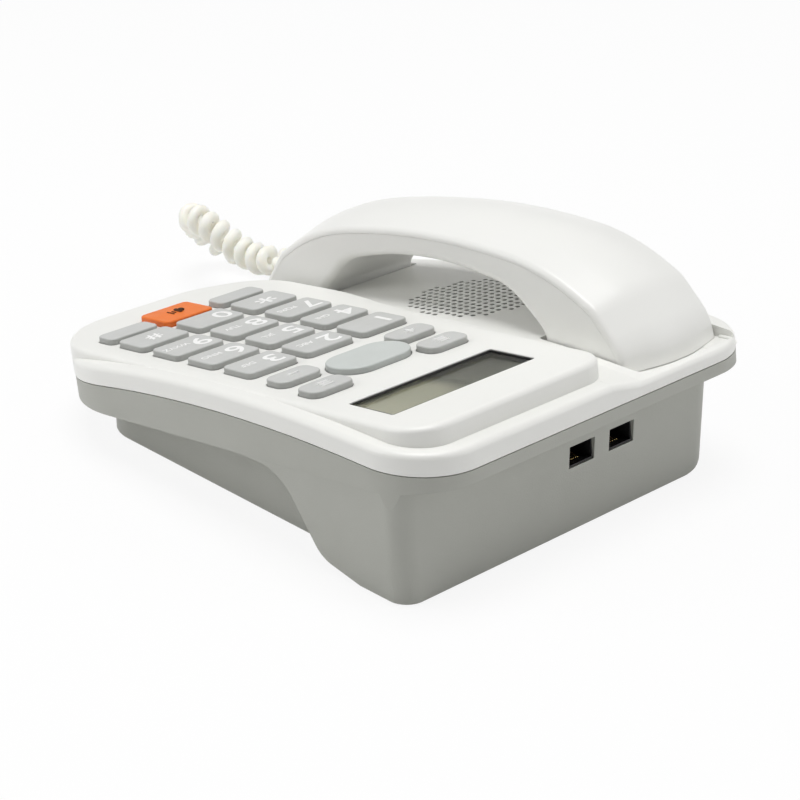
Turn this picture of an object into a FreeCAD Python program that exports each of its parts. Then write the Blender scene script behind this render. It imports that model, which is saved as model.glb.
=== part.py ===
import math
import os

import FreeCAD, Part

Vector = FreeCAD.Vector
os.makedirs("parts", exist_ok=True)

# The phone is drawn in the frame of its keypad panel: u to the user's right, v to the rear along the panel,
# w square to the panel, and the panel's face at w = 0. Everything is then tilted onto the table.
# All sizes are in millimetres and angles in degrees.

# Stance on the table
panel_tilt = 8.7
panel_height = 44.3
panel_shift = -0.5
foot_drop = 0.8

# Clearances
seam_gap = 0.35
run_gap = 0.35
seat_gap = 0.3

# Rim that both housings share
rim_half_width = 80.0
rim_front = -106.5
rim_rear = 103.5
rim_front_right_radius = 52.0
rim_front_left_radius = 26.0
rim_rear_radius = 23.0
seam_crown = -6.6
seam_radius = 660.0
wall = 2.5
tongue_wall = 1.2
tongue_rise = 1.6

# Upper housing
band_rise = 7.2
band_round = 2.2
deck_rise = 4.4
deck_round = 1.8
deck_edge_u = -5.0
ramp_reach = 14.0
ramp_step = 0.2
panel_right = 74.2
panel_left = -13.4
panel_rear_left = -11.2
panel_front_left = -22.0
panel_rear = 97.4
panel_front = -100.5
panel_round = 1.8
grille_u = -43.4
grille_v = 3.0
grille_radius = 22.8
grille_pitch = 3.15
grille_hole = 1.0

# Lower housing
rim_floor = -19.0
body_left = -66.8
body_right = 65.7
front_face_y = -79.6
rear_face_y = 94.3
body_front_radius = 20.0
body_rear_radius = 8.0
body_left_round = 12.5
leg_foot_u = 76.6
leg_corner_round = 7.0
leg_start_v = 0.0
leg_knee_v = 37.0
leg_heel_v = 50.5
leg_toe_v = 72.0

# Rear sockets
socket_width = 11.9
socket_height = 7.6
socket_w = -31.0
line_socket_u = -1.0
spare_socket_u = -20.0
socket_depth = 12.0
socket_block = 16.0

# Display
lcd_u = 34.2
lcd_v = 67.9
lcd_width = 62.3
lcd_depth = 20.3
lens_lip = 0.6
lens_margin = 1.0

# Keys
key_width = 20.8
key_depth = 15.2
key_round = 2.2
key_pitch_u = 24.75
key_pitch_v = 19.4
key_right_u = 55.2
key_top_v = 3.1
key_stand = 2.2
key_crown_round = 0.6
key_travel = 1.5
key_flange = 1.2
flange_margin = 1.0
narrow_flange_margin = 0.65
small_key_width = 17.6
small_key_depth = 10.4
oval_width = 31.0
oval_depth = 18.6
slim_depth = 9.6
orange_width = 21.4
orange_depth = 17.0
mat_thick = 1.2
board_thick = 1.6

# Handset
handset_u = -48.0
handset_half_width = 23.5
handset_mid_v = -1.5
handset_half_length = 96.5
handset_crown = 30.3
handset_arch_radius = 300.0
handset_cross_radius = 45.0
handset_base = -12.0
handset_round = 2.4
handset_wall = 2.3
grip_round = 3.0
parting_drop = 7.0
cup_inner = 57.5
cup_lean = 1.5
pocket_margin = 0.9
pocket_half_length = 101.3
pocket_round = 5.5

# Curly cord
wire_diameter = 4.4
coil_radius = 4.1
coil_pitch = 6.8
coil_inner_gap = 1.2
cord_socket_w = -5.5
base_socket_v = -40.0
base_socket_w = -23.4
boot_length = 6.3
base_boot_u = -78.5

def at(u, v, w):
    return Vector(u, v, w)

def place(shape):
    # tilts a shape from the panel's frame onto the table
    shape = shape.copy()
    shape.rotate(Vector(0, 0, 0), Vector(1, 0, 0), panel_tilt)
    shape.translate(Vector(0, panel_shift, panel_height))
    return shape

def spot(u, v, w):
    # a point of the panel's frame, as it stands on the table
    tilt = math.radians(panel_tilt)
    y = v * math.cos(tilt) - w * math.sin(tilt) + panel_shift
    z = v * math.sin(tilt) + w * math.cos(tilt) + panel_height
    return Vector(u, y, z)

def outline(corners):
    # flat closed wire through corners (x, y, radius), each one rounded by a tangent arc
    marks = []
    for i, (x, y, r) in enumerate(corners):
        here = Vector(x, y, 0)
        back = Vector(corners[i - 1][0], corners[i - 1][1], 0) - here
        on = Vector(corners[(i + 1) % len(corners)][0], corners[(i + 1) % len(corners)][1], 0) - here
        back.normalize()
        on.normalize()
        if r <= 0:
            marks.append((here, here, here))
            continue
        half = back.getAngle(on) / 2
        middle = back + on
        middle.normalize()
        reach = r / math.tan(half)
        marks.append((here + back * reach, here + middle * (r / math.sin(half) - r), here + on * reach))
    edges = []
    for i, (start, middle, end) in enumerate(marks):
        if (end - start).Length > 1e-6:
            edges.append(Part.Arc(start, middle, end).toShape())
        following = marks[(i + 1) % len(marks)][0]
        if (following - end).Length > 1e-6:
            edges.append(Part.makeLine(end, following))
    return Part.Wire(edges)

def prism(corners, low, high, inset=0.0):
    # upright solid on a plan outline, from w = low to w = high, its walls moved in by inset
    wire = outline(corners)
    if inset:
        wire = wire.makeOffset2D(-inset)
    face = Part.Face(wire)
    face.translate(Vector(0, 0, low))
    return face.extrude(Vector(0, 0, high - low))

def side_prism(corners, left, right, inset=0.0):
    # solid on a side outline (v, w), from u = left to u = right
    solid = prism(corners, left, right, inset)
    solid.rotate(Vector(0, 0, 0), Vector(1, 1, 1), 120)
    return solid

def rear_prism(corners, front, rear):
    # solid on a cross outline (u, w), from v = front to v = rear
    solid = prism(corners, -rear, -front)
    solid.rotate(Vector(0, 0, 0), Vector(1, 0, 0), 90)
    return solid

def rectangle(u, v, width, depth, radius):
    half_w = width / 2
    half_d = depth / 2
    return [
        (u + half_w, v + half_d, radius),
        (u - half_w, v + half_d, radius),
        (u - half_w, v - half_d, radius),
        (u + half_w, v - half_d, radius),
    ]

def block(u, v, w, width, depth, height):
    # box centred on u and v, standing on w
    return Part.makeBox(width, depth, height, at(u - width / 2, v - depth / 2, w))

def rod(u, v, low, high, radius):
    return Part.makeCylinder(radius, high - low, at(u, v, low))

def under_arch(rise):
    # everything below the seam's arch, raised by rise
    centre = at(-200, (rim_front + rim_rear) / 2, seam_crown - seam_radius)
    return Part.makeCylinder(seam_radius + rise, 400, centre, Vector(1, 0, 0))

def round_edges(solid, radius, wanted):
    # rounds the edges that the test picks
    edges = [e for e in solid.Edges if wanted(e)]
    return solid.makeFillet(radius, edges)

def one_solid(shape):
    # the largest solid, with faces of the same surface joined
    shape = shape.removeSplitter()
    return max(shape.Solids, key=lambda s: s.Volume)

def export(name, shape):
    box = shape.BoundBox
    print("%-22s valid %s solids %d  X %.1f %.1f  Y %.1f %.1f  Z %.1f %.1f" % (
        name, shape.isValid(), len(shape.Solids),
        box.XMin, box.XMax, box.YMin, box.YMax, box.ZMin, box.ZMax))
    shape.exportStep("parts/" + name + ".step")

# Plan outlines
rim_plan = [
    (rim_half_width, rim_rear, rim_rear_radius),
    (-rim_half_width, rim_rear, rim_rear_radius),
    (-rim_half_width, rim_front, rim_front_left_radius),
    (rim_half_width, rim_front, rim_front_right_radius),
]
panel_plan = [
    (panel_right, panel_rear, 14),
    (panel_rear_left, panel_rear, 11),
    (panel_left, 15, 40),
    (panel_front_left, -40, 60),
    (panel_front_left, -86, 26),
    (5, panel_front, 30),
    (panel_right, panel_front, 30),
]
# the lower body's walls stand upright on the table, so its plan is in the table's x and y
body_plan = [
    (body_right, rear_face_y, 3),
    (body_left, rear_face_y, body_rear_radius),
    (body_left, front_face_y, body_front_radius),
    (body_right, front_face_y, body_front_radius),
]

def cup_plan(sign, margin, rounding):
    # plan of one end of the handset, grown by margin
    inner = handset_mid_v + sign * (cup_inner - cup_lean - margin)
    outer = handset_mid_v + sign * (pocket_half_length - pocket_margin + margin)
    half = handset_half_width + margin
    corners = [
        (handset_u + half, outer, rounding),
        (handset_u - half, outer, rounding),
        (handset_u - half, inner, 1.5),
        (handset_u + half, inner, 1.5),
    ]
    return corners

# Upper housing
pocket_floor = handset_base - seat_gap
tub_floor = pocket_floor - 2.2
panel_under = -wall

def slab(rise, rounding):
    # the rim's plan, cut by an arch and rounded along its top edge
    solid = prism(rim_plan, -60, 30).common(under_arch(rise))
    top = max((f for f in solid.Faces if isinstance(f.Surface, Part.Cylinder)
               and f.Surface.Radius > 300), key=lambda f: f.Area)
    return solid.makeFillet(rounding, top.Edges)

def zone(left, right):
    return Part.makeBox(right - left, 300, 200, at(left, -150, -100))

band = slab(band_rise, band_round).common(zone(deck_edge_u, 120))
deck = slab(deck_rise, deck_round).common(zone(-120, deck_edge_u))
# a ramp leads from the band down to the deck
ramp = slab(band_rise, band_round)
ramp_angle = math.degrees(math.atan((band_rise - deck_rise) / ramp_reach))
half_span = (rim_rear - rim_front) / 2
end_drop = seam_radius - math.sqrt(seam_radius ** 2 - half_span ** 2)
ramp.rotate(at(deck_edge_u, 0, seam_crown + band_rise - ramp_step - end_drop), Vector(0, 1, 0), -ramp_angle)
ramp = ramp.common(zone(deck_edge_u - ramp_reach - 2, deck_edge_u))
panel = prism(panel_plan, -40, 0)
panel = panel.makeFillet(panel_round, max(panel.Faces, key=lambda f: f.CenterOfMass.z).Edges)
upper = band.fuse(deck).fuse(ramp)
upper = upper.cut(prism(panel_plan, -panel_round, 20))
upper = upper.fuse(panel)
upper = upper.cut(under_arch(seam_gap))

tubs = []
pockets = []
for sign in (1, -1):
    tub = prism(cup_plan(sign, pocket_margin + 2.2, 12), tub_floor, seam_crown + deck_rise - 1)
    tub = tub.common(prism(rim_plan, -60, 30, 3.0)).common(under_arch(deck_rise - 0.5))
    tubs.append(tub)
    pockets.append(prism(cup_plan(sign, pocket_margin, pocket_round), pocket_floor, 60))

hollow = prism(panel_plan, -60, panel_under, wall)
rim_inside = prism(rim_plan, -60, 30, wall)
hollow = hollow.fuse(rim_inside.common(under_arch(band_rise - wall)).common(zone(deck_edge_u + wall, 120)))
hollow = hollow.fuse(rim_inside.common(under_arch(deck_rise - wall)).common(zone(-120, deck_edge_u + wall)))
hollow = hollow.common(prism(rectangle(0, 0, 300, 300, 0), -60, panel_under))
for tub in tubs:
    hollow = hollow.cut(tub)
upper = upper.fuse(tubs[0]).fuse(tubs[1])
upper = upper.cut(hollow)
for pocket in pockets:
    upper = upper.cut(pocket)

# rebate for the lower housing's tongue
rebate = prism(rim_plan, -60, 30, wall - tongue_wall - run_gap / 2)
rebate = rebate.cut(prism(rim_plan, -61, 31, wall + 0.6)).common(under_arch(tongue_rise + run_gap))
upper = upper.cut(rebate)

# keys: name, centre u, centre v, width, depth, corner radius
left_u = key_right_u - 2 * key_pitch_u
mid_u = key_right_u - key_pitch_u
keys = []
digits = ["1", "2", "3", "4", "5", "6", "7", "8", "9", "star", "0", "hash"]
for i, digit in enumerate(digits):
    u = left_u + (i % 3) * key_pitch_u
    v = key_top_v - (i // 3) * key_pitch_v
    keys.append(("key_" + digit, u, v, key_width, key_depth, key_round))
last_row_v = key_top_v - 4 * key_pitch_v
keys.append(("key_slim_left", left_u + 0.4, last_row_v + 4.0, key_width, slim_depth, 2.6))
keys.append(("key_slim_right", key_right_u, last_row_v + 4.0, key_width, slim_depth, 2.6))
keys.append(("key_orange", mid_u + 1.0, last_row_v + 1.2, orange_width, orange_depth, key_round))
keys.append(("key_oval", mid_u + 1.4, 30.4, oval_width, oval_depth, oval_depth / 2 - 0.3))
small_reach = 25.6
for name, u, v in (
    ("key_small_a", mid_u + 2 - small_reach, 23.4),
    ("key_small_b", mid_u + 3.4 - small_reach, 40.6),
    ("key_small_c", mid_u + 2 + small_reach, 23.4),
    ("key_small_d", mid_u + 3.4 + small_reach, 40.6),
):
    keys.append((name, u, v, small_key_width, small_key_depth, 3.6))

for name, u, v, width, depth, rounding in keys:
    hole = rectangle(u, v, width + 2 * run_gap, depth + 2 * run_gap, rounding + run_gap)
    upper = upper.cut(prism(hole, panel_under - 3, 5))

# display window, with a seat for the lens under a lip
window = rectangle(lcd_u, lcd_v, lcd_width, lcd_depth, 0.8)
lens_plan = rectangle(lcd_u, lcd_v, lcd_width + 2 * lens_margin, lcd_depth + 2 * lens_margin, 1.0)
upper = upper.cut(prism(window, -6, 5))
upper = upper.cut(prism(lens_plan, -6, -lens_lip, -run_gap))

# loudspeaker grille through the deck
holes = []
reach = int(grille_radius / grille_pitch) + 1
for i in range(-reach, reach + 1):
    for j in range(-reach, reach + 1):
        du = i * grille_pitch
        dv = j * grille_pitch
        if math.hypot(du, dv) <= grille_radius:
            holes.append(rod(grille_u + du, grille_v + dv, -12, 10, grille_hole))
upper = upper.cut(Part.makeCompound(holes))

# notch in the front rim for the handset's cord, and the hole for the hook plunger
notch_half = wire_diameter / 2 + 1.6
upper = upper.cut(block(handset_u, rim_front + 4, cord_socket_w - notch_half, 2 * notch_half, 14, 30))
hook_u = handset_u
hook_v = handset_mid_v + cup_inner + 10.0
hook_width = 7.0
hook_depth = 10.0
hook_rise = 4.0
hook_hole = rectangle(hook_u, hook_v, hook_width + 2 * run_gap, hook_depth + 2 * run_gap, 1.0 + run_gap)
upper = upper.cut(prism(hook_hole, tub_floor - 2, pocket_floor + 2))

# posts that carry the keypad board
mat_top = panel_under - seat_gap - key_flange - key_travel - seat_gap
board_top = mat_top - mat_thick
post_right = 69.2
post_left = -8.6
post_spots = [(post_right, 52.0), (post_left + 3.4, 50.0)]
for v in (-8.0, -56.0):
    post_spots.extend([(post_right, v), (post_left, v)])
post_radius = 2.2
post_bore = 0.9
for u, v in post_spots:
    upper = upper.fuse(rod(u, v, board_top, panel_under + 0.5, post_radius))
for u, v in post_spots:
    upper = upper.cut(rod(u, v, board_top - 1, board_top + 4.2, post_bore))

# Lower housing, cut level with the table
floor_top = foot_drop + wall
below = Part.makeBox(600, 600, 200, Vector(-300, -300, foot_drop - 200))

def floor_box(level, left, rounding):
    # everything above a level and to the right of a plane, with the edge between the two rounded
    box = Part.makeBox(300, 600, 200, Vector(left, -300, level))
    at_corner = lambda e: e.BoundBox.XMax < left + 0.1 and e.BoundBox.ZMax < level + 0.1
    return round_edges(box, rounding, at_corner)

outer_floor = floor_box(foot_drop, body_left, body_left_round)
inner_floor = floor_box(floor_top, body_left + wall, body_left_round - wall)
under_rim = place(Part.makeBox(600, 600, 200, at(-300, -300, rim_floor + wall - 200)))
body = prism(body_plan, -20, 90).common(under_rim).common(outer_floor)
leg_top = rim_floor + 4.0
leg_low = -80.0
leg_foot_w = -57.0
leg_draft = (rim_half_width - leg_foot_u) / (leg_top - leg_foot_w)
leg_side = [
    (leg_start_v, leg_top, 0),
    (leg_start_v, rim_floor + 1, 0),
    (leg_knee_v, rim_floor - 2.0, 17),
    (leg_heel_v, -48.5, 11),
    (leg_toe_v, -56.0, 0),
    (leg_toe_v, leg_low, 0),
    (rim_rear, leg_low, 0),
    (rim_rear, leg_top, 0),
]
leg_cross = [
    (50, leg_top, 0),
    (rim_half_width, leg_top, 0),
    (leg_foot_u - leg_draft * (leg_foot_w - leg_low), leg_low, 0),
    (50, leg_low, 0),
]
leg = place(side_prism(leg_side, 50, rim_half_width).common(rear_prism(leg_cross, -30, 120)))
leg = leg.common(Part.makeBox(200, 400, 400, Vector(0, rear_face_y - 400, -200)))
at_heel = lambda e: e.BoundBox.YMin > rear_face_y - 0.1 and e.BoundBox.XMin > 60 and e.BoundBox.ZLength > 20
leg = round_edges(leg, leg_corner_round, at_heel)
leg = leg.common(place(prism(rim_plan, -100, 0)))
rim_band = prism(rim_plan, rim_floor, 30).common(under_arch(0))
lower = place(rim_band).fuse(leg).cut(below).fuse(body)

leg_core = Part.makeBox(leg_foot_u - 4 - 55, 18, 56, at(55, 65, -80))
inside = prism(body_plan, -20, 120, wall).fuse(place(leg_core)).common(inner_floor)
inside = inside.fuse(place(prism(rim_plan, rim_floor + wall, 30, wall)))
lower = lower.cut(inside)
tongue = prism(rim_plan, rim_floor + 1, 30, wall - tongue_wall + run_gap / 2)
tongue = tongue.cut(prism(rim_plan, rim_floor, 31, wall + 0.01)).common(under_arch(tongue_rise))
lower = lower.fuse(place(tongue))

# columns for the housing screws, with the upper housing's posts above them
column_top = -16.0
column_radius = 4.0
column_left = body_left + wall + column_radius + 1.0
column_right = -16.5
column_spots = [
    (column_left, -18.0, -4.2),
    (column_left, 40.0, -5.2),
    (column_right, 40.0, -5.2),
    (column_right, -42.0, -2.2),
]
head_seat = column_top - 9.0
screw_shank = 1.25
screw_head = 2.8
for u, v, top in column_spots:
    lower = lower.fuse(place(rod(u, v, -80, column_top, column_radius)).common(outer_floor))
for u, v, top in column_spots:
    lower = lower.cut(place(rod(u, v, -90, head_seat, screw_head + 0.3)))
    lower = lower.cut(place(rod(u, v, head_seat - 1, column_top + 1, screw_shank + 0.2)))

# main board on four pillars
main_top = -40.0
main_plan = rectangle(-18.0, 65.0, 76.0, 34.0, 2.0)
pillar_spots = [(-51.5, 53.0), (-51.5, 78.0), (15.5, 53.0), (15.5, 78.0)]
pillar_radius = 2.6
for u, v in pillar_spots:
    lower = lower.fuse(place(rod(u, v, -80, main_top - board_thick, pillar_radius)).common(outer_floor))
for u, v in pillar_spots:
    lower = lower.cut(place(rod(u, v, main_top - board_thick - 6, main_top, post_bore)))

# socket openings, feet recesses
tilt = math.radians(panel_tilt)
rear_v = (rear_face_y - panel_shift + socket_w * math.sin(tilt)) / math.cos(tilt)
for u in (line_socket_u, spare_socket_u):
    opening = block(u, rear_v, socket_w - socket_height / 2, socket_width, 12, socket_height)
    lower = lower.cut(place(opening))
side_width = 8.6
side_height = 7.6
side_opening = block(body_left, base_socket_v, base_socket_w - side_height / 2, 12, side_width, side_height)
lower = lower.cut(place(side_opening))
foot_spots = [(-48.0, -62.0), (50.0, -62.0), (-48.0, 74.0), (60.0, 78.0)]
foot_radius = 6.0
foot_thick = 1.8
for x, y in foot_spots:
    lower = lower.cut(Part.makeCylinder(foot_radius + 0.2, 20, Vector(x, y, foot_thick - 20)))
lower = one_solid(lower)
export("lower_housing", lower)

# the upper housing's screw posts meet the columns
for u, v, top in column_spots:
    upper = upper.fuse(rod(u, v, column_top, top, column_radius - 0.4))
for u, v, top in column_spots:
    upper = upper.cut(rod(u, v, column_top - 1, column_top + 7, screw_shank + 0.05))
upper = one_solid(upper)
export("upper_housing", place(upper))

# Housing screws and feet
screws = []
for u, v, top in column_spots:
    shank = rod(u, v, head_seat, column_top + 6, screw_shank)
    screws.append(place(shank.fuse(rod(u, v, head_seat - 2.2, head_seat, screw_head))))
export("housing_screws", Part.makeCompound(screws))
feet = []
for x, y in foot_spots:
    feet.append(Part.makeCylinder(foot_radius, foot_thick, Vector(x, y, 0)))
export("rubber_feet", Part.makeCompound(feet))

# Ballast plate on the floor
ballast = Part.makeBox(66, 74, 5, Vector(-44, -64, floor_top))
ballast = ballast.cut(place(rod(column_right, -42.0, -80, column_top, column_radius + 2 * seat_gap)))
export("ballast_plate", ballast)

# Keys, with a flange under the panel
for name, u, v, width, depth, rounding in keys:
    narrow = name in ("key_orange", "key_oval") or name.startswith("key_small")
    margin = narrow_flange_margin if narrow else flange_margin
    flange_top = panel_under - seat_gap
    key = prism(rectangle(u, v, width, depth, rounding), flange_top - key_flange, key_stand)
    key = key.makeFillet(key_crown_round, max(key.Faces, key=lambda f: f.CenterOfMass.z).Edges)
    flange = rectangle(u, v, width + 2 * margin, depth + 2 * margin, rounding + margin)
    key = key.fuse(prism(flange, flange_top - key_flange, flange_top))
    export(name, place(one_solid(key)))

# Keypad board, key mat, display
board_right = panel_right - wall - 0.7
board_left = -11.8
board_rear_left = -8.0
board_front = -86.0
board_rear = 86.0
mat_rear = 46.0

def board_plan(rear):
    # plan of the keypad board and its mat, which widens towards the front
    corners = [
        (board_right, rear, 3),
        (board_rear_left, rear, 3),
        (board_rear_left, 28, 10),
        (board_left, -4, 10),
        (board_left, board_front, 6),
        (board_right, board_front, 24),
    ]
    return corners

board = prism(board_plan(board_rear), board_top - board_thick, board_top)
mat = prism(board_plan(mat_rear), board_top, mat_top)
board_screws = []
for u, v in post_spots:
    board = board.cut(rod(u, v, board_top - 5, board_top + 1, post_bore + 0.3))
    mat = mat.cut(rod(u, v, board_top - 1, mat_top + 1, post_radius + 0.4))
    shank = rod(u, v, board_top - board_thick, board_top + 4, post_bore - 0.05)
    head = rod(u, v, board_top - board_thick - 1.2, board_top - board_thick, 2.0)
    board_screws.append(place(shank.fuse(head)))
export("keypad_board", place(one_solid(board)))
export("key_mat", place(one_solid(mat)))
lens = prism(lens_plan, panel_under, -lens_lip)
export("display_lens", place(lens))
module_plan = rectangle(lcd_u, lcd_v, lcd_width + 4, lcd_depth + 6, 1.0)
export("display_module", place(prism(module_plan, board_top, panel_under - seat_gap)))

# Loudspeaker under the grille
speaker_top = seam_crown + deck_rise - wall - 1.0
speaker = rod(grille_u, grille_v, speaker_top - 2.5, speaker_top, 20.5)
basket = Part.makeCone(12, 19.5, 5, at(grille_u, grille_v, speaker_top - 7.5))
magnet = rod(grille_u, grille_v, speaker_top - 13, speaker_top - 7.5, 12)
export("loudspeaker", place(one_solid(speaker.fuse(basket).fuse(magnet))))

# Main board with its sockets and the hook switch
main_board = prism(main_plan, main_top - board_thick, main_top)
for u, v in pillar_spots:
    main_board = main_board.cut(rod(u, v, main_top - 5, main_top + 1, post_bore + 0.3))
    shank = rod(u, v, main_top - board_thick - 5, main_top, post_bore - 0.05)
    board_screws.append(place(shank.fuse(rod(u, v, main_top, main_top + 1.2, 2.0))))
export("main_board", place(main_board))
export("board_screws", Part.makeCompound(board_screws))
# each socket has a nose that fills its opening in the rear wall
jack_rear = rear_v - wall - 2.0
nose_rear = rear_v - 1.0
nose_gap = 0.25
nose_width = socket_width - 2 * nose_gap
nose_height = socket_height - 2 * nose_gap
nose_wall = 0.5
for name, u in (("line_jack", line_socket_u), ("spare_jack", spare_socket_u)):
    jack = block(u, jack_rear - socket_block / 2, main_top, 15.4, socket_block, socket_w + 6 - main_top)
    nose_depth = nose_rear - jack_rear + 4
    nose_low = socket_w - nose_height / 2
    nose = block(u, nose_rear - nose_depth / 2, nose_low, nose_width, nose_depth, nose_height)
    jack = jack.fuse(nose)
    cavity_height = nose_height - 2 * nose_wall
    jack = jack.cut(block(u, nose_rear - socket_depth / 2 + 1, socket_w - cavity_height / 2,
                          nose_width - 2 * nose_wall, socket_depth + 2, cavity_height))
    export(name, place(one_solid(jack)))
cord_jack = block(body_left + wall + 7, base_socket_v, base_socket_w - 5.2, 14, 13, 10.4)
cord_jack = cord_jack.cut(block(body_left + wall + 4, base_socket_v, base_socket_w - side_height / 2 + 0.4,
                                16, side_width - 0.6, side_height - 0.8))
clear_floor = floor_box(floor_top + seat_gap, body_left + wall + seat_gap, body_left_round - wall - seat_gap)
export("cord_jack", place(cord_jack).common(clear_floor))
plunger_low = main_top + 10.4
plunger = prism(rectangle(hook_u, hook_v, hook_width, hook_depth, 1.0), plunger_low, pocket_floor)
stop_top = tub_floor - hook_rise - seat_gap
stop_plan = rectangle(hook_u, hook_v, hook_width + 3, hook_depth + 3, 1.0)
plunger = plunger.fuse(prism(stop_plan, stop_top - 1.5, stop_top))
export("hook_plunger", place(one_solid(plunger)))
export("hook_switch", place(block(hook_u, hook_v, main_top, 12, 14, plunger_low - seat_gap - main_top)))

# Handset. Its top is swept along a side path measured from its middle, its underside is cut out below
knee_v = handset_half_length - 14.0
knee_w = 12.2
brow_v = handset_half_length - 2.0
brow_w = -2.0
shoulder_v = 60.0
shoulder_w = 25.4
shoulder_radius = 90.0
end_radius = 20.0
chord_angle = math.asin(40.0 / handset_arch_radius)
apex_w = handset_crown + handset_arch_radius * (1 / math.cos(chord_angle) - 1)
throat_v = cup_inner - 16.0
throat_w = 10.9
arch_w = 19.1
end_slope = (handset_half_length - brow_v) / (brow_w - handset_base)
path_low = -40.0
path_end_v = brow_v + end_slope * (brow_w - path_low)
beam_depth = 18.0
core_inset = 15.5
handset_left = handset_u - handset_half_width
handset_right = handset_u + handset_half_width

def mirrored(half, middle):
    # side corners from the rear end over the middle to the front end
    corners = [(handset_mid_v + v, w, r) for v, w, r in half]
    corners.append((handset_mid_v, middle[0], middle[1]))
    corners.extend((handset_mid_v - v, w, r) for v, w, r in reversed(half))
    return corners

top_corners = mirrored([
    (path_end_v, path_low, 0),
    (brow_v, brow_w, end_radius),
    (knee_v, knee_w, end_radius),
    (shoulder_v, shoulder_w, shoulder_radius),
], (apex_w, handset_arch_radius))
trim_corners = mirrored([
    (130, 70, 0),
    (130, handset_base, 0),
    (cup_inner, handset_base, 1.2),
    (cup_inner - cup_lean, -2.5, 8),
    (throat_v, throat_w, 25),
], (arch_w, 150))

def handset_form(inset):
    # the handset's outer form, or its hollow when inset
    wire = outline(top_corners)
    base_edge = min(wire.Edges, key=lambda e: e.CenterOfMass.y)
    path = Part.Wire(Part.__sortEdges__([e for e in wire.Edges if not e.isSame(base_edge)]))
    path.rotate(Vector(0, 0, 0), Vector(1, 1, 1), 120)
    path.translate(Vector(handset_u, 0, 0))
    lean = math.asin(12.0 / handset_cross_radius)
    crown_drop = handset_cross_radius * (1 - math.cos(lean))
    crown_apex = 12 * math.tan(lean) - crown_drop
    crown_edge = crown_apex - handset_half_width * math.tan(lean)
    section = outline([
        (-handset_half_width, -beam_depth, 0),
        (handset_half_width, -beam_depth, 0),
        (handset_half_width, crown_edge, handset_round),
        (0, crown_apex, handset_cross_radius),
        (-handset_half_width, crown_edge, handset_round),
    ])
    if inset:
        section = section.makeOffset2D(-inset)
    start = path.Vertexes[0].Point
    if path.Vertexes[0].Point.y < handset_mid_v:
        start = path.Vertexes[-1].Point
    section.rotate(Vector(0, 0, 0), Vector(1, 0, 0), math.degrees(math.atan(end_slope)))
    section.translate(at(handset_u, start.y, start.z))
    beam = path.makePipeShell([section], True, False)
    core = side_prism(top_corners, handset_left + inset, handset_right - inset, core_inset)
    trim = side_prism(trim_corners, handset_left - 5, handset_right + 5, inset)
    return one_solid(beam.fuse(core).common(trim))

handset = handset_form(0)
handset_hollow = handset_form(handset_wall)
parting_gap = 0.1

def below_parting(gap):
    # everything deeper than the parting line, which keeps a steady depth under the top
    return side_prism(top_corners, handset_left - 5, handset_right + 5, parting_drop + gap)

cover = handset.cut(below_parting(0)).cut(handset_hollow)
shell = handset.common(below_parting(parting_gap)).cut(handset_hollow)
underside = side_prism(trim_corners, handset_left - 5, handset_right + 5).Shells[0]

def under_grip(edge):
    # the side edges of the underside, between the two cups
    middle = edge.valueAt((edge.FirstParameter + edge.LastParameter) / 2)
    if abs(abs(middle.x - handset_u) - handset_half_width) > 0.02:
        return False
    if abs(middle.y - handset_mid_v) > cup_inner:
        return False
    return underside.distToShape(Part.Vertex(middle))[0] < 0.01

shell = round_edges(shell, grip_round, under_grip)

# handset screws run from the cup floors into bosses under the cover
boss_v = cup_inner + 7.0
boss_split = 8.0
boss_radius = 3.6
shell_screws = []
for sign in (1, -1):
    v = handset_mid_v + sign * boss_v
    shell = shell.fuse(rod(handset_u, v, handset_base, boss_split, boss_radius))
    cover = cover.fuse(rod(handset_u, v, boss_split, handset_crown, boss_radius).common(handset))
    shell = shell.cut(rod(handset_u, v, handset_base - 1, handset_base + 8, screw_head + 0.3))
    shell = shell.cut(rod(handset_u, v, handset_base, boss_split + 1, screw_shank + 0.2))
    cover = cover.cut(rod(handset_u, v, boss_split - 1, boss_split + 8, screw_shank + 0.05))
    shank = rod(handset_u, v, handset_base + 8, boss_split + 7, screw_shank)
    shell_screws.append(place(shank.fuse(rod(handset_u, v, handset_base + 6, handset_base + 8, screw_head))))

# holes for the ear and the mouth, and the cord's socket at the front end
ear_v = handset_mid_v + 80.3
mouth_v = handset_mid_v - 72.8
cup_floor = handset_base + handset_wall
sound_holes = [rod(handset_u, ear_v, handset_base - 1, cup_floor + 1, 1.2)]
for i in range(6):
    turn = math.radians(60 * i)
    u = handset_u + 5 * math.cos(turn)
    v = ear_v + 5 * math.sin(turn)
    sound_holes.append(rod(u, v, handset_base - 1, cup_floor + 1, 1.2))
for i in (-1, 0, 1):
    sound_holes.append(rod(handset_u + 3.6 * i, mouth_v, handset_base - 1, cup_floor + 1, 0.9))
shell = shell.cut(Part.makeCompound(sound_holes))
plug_width = 6.6
plug_height = 6.2
front_v = handset_mid_v - handset_half_length
plug_hole = block(handset_u, front_v, cord_socket_w - plug_height / 2 - seat_gap,
                  plug_width + 2 * seat_gap, 14, plug_height + 2 * seat_gap)
shell = shell.cut(plug_hole)
cover = cover.cut(plug_hole)
export("handset_cover", place(one_solid(cover)))
export("handset_shell", place(one_solid(shell)))
export("handset_screws", Part.makeCompound(shell_screws))
export("receiver_capsule", place(rod(handset_u, ear_v, cup_floor, cup_floor + 6, 11.0)))
export("microphone", place(rod(handset_u, mouth_v, cup_floor, cup_floor + 6, 4.2)))
weight_low = arch_w - 0.2
export("handset_weight", place(block(handset_u, handset_mid_v, weight_low, 14, 46, 5)))
socket_rear = front_v + 19.0
handset_jack = block(handset_u, socket_rear - 6, cup_floor, 11, 12, 9.2)
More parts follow.
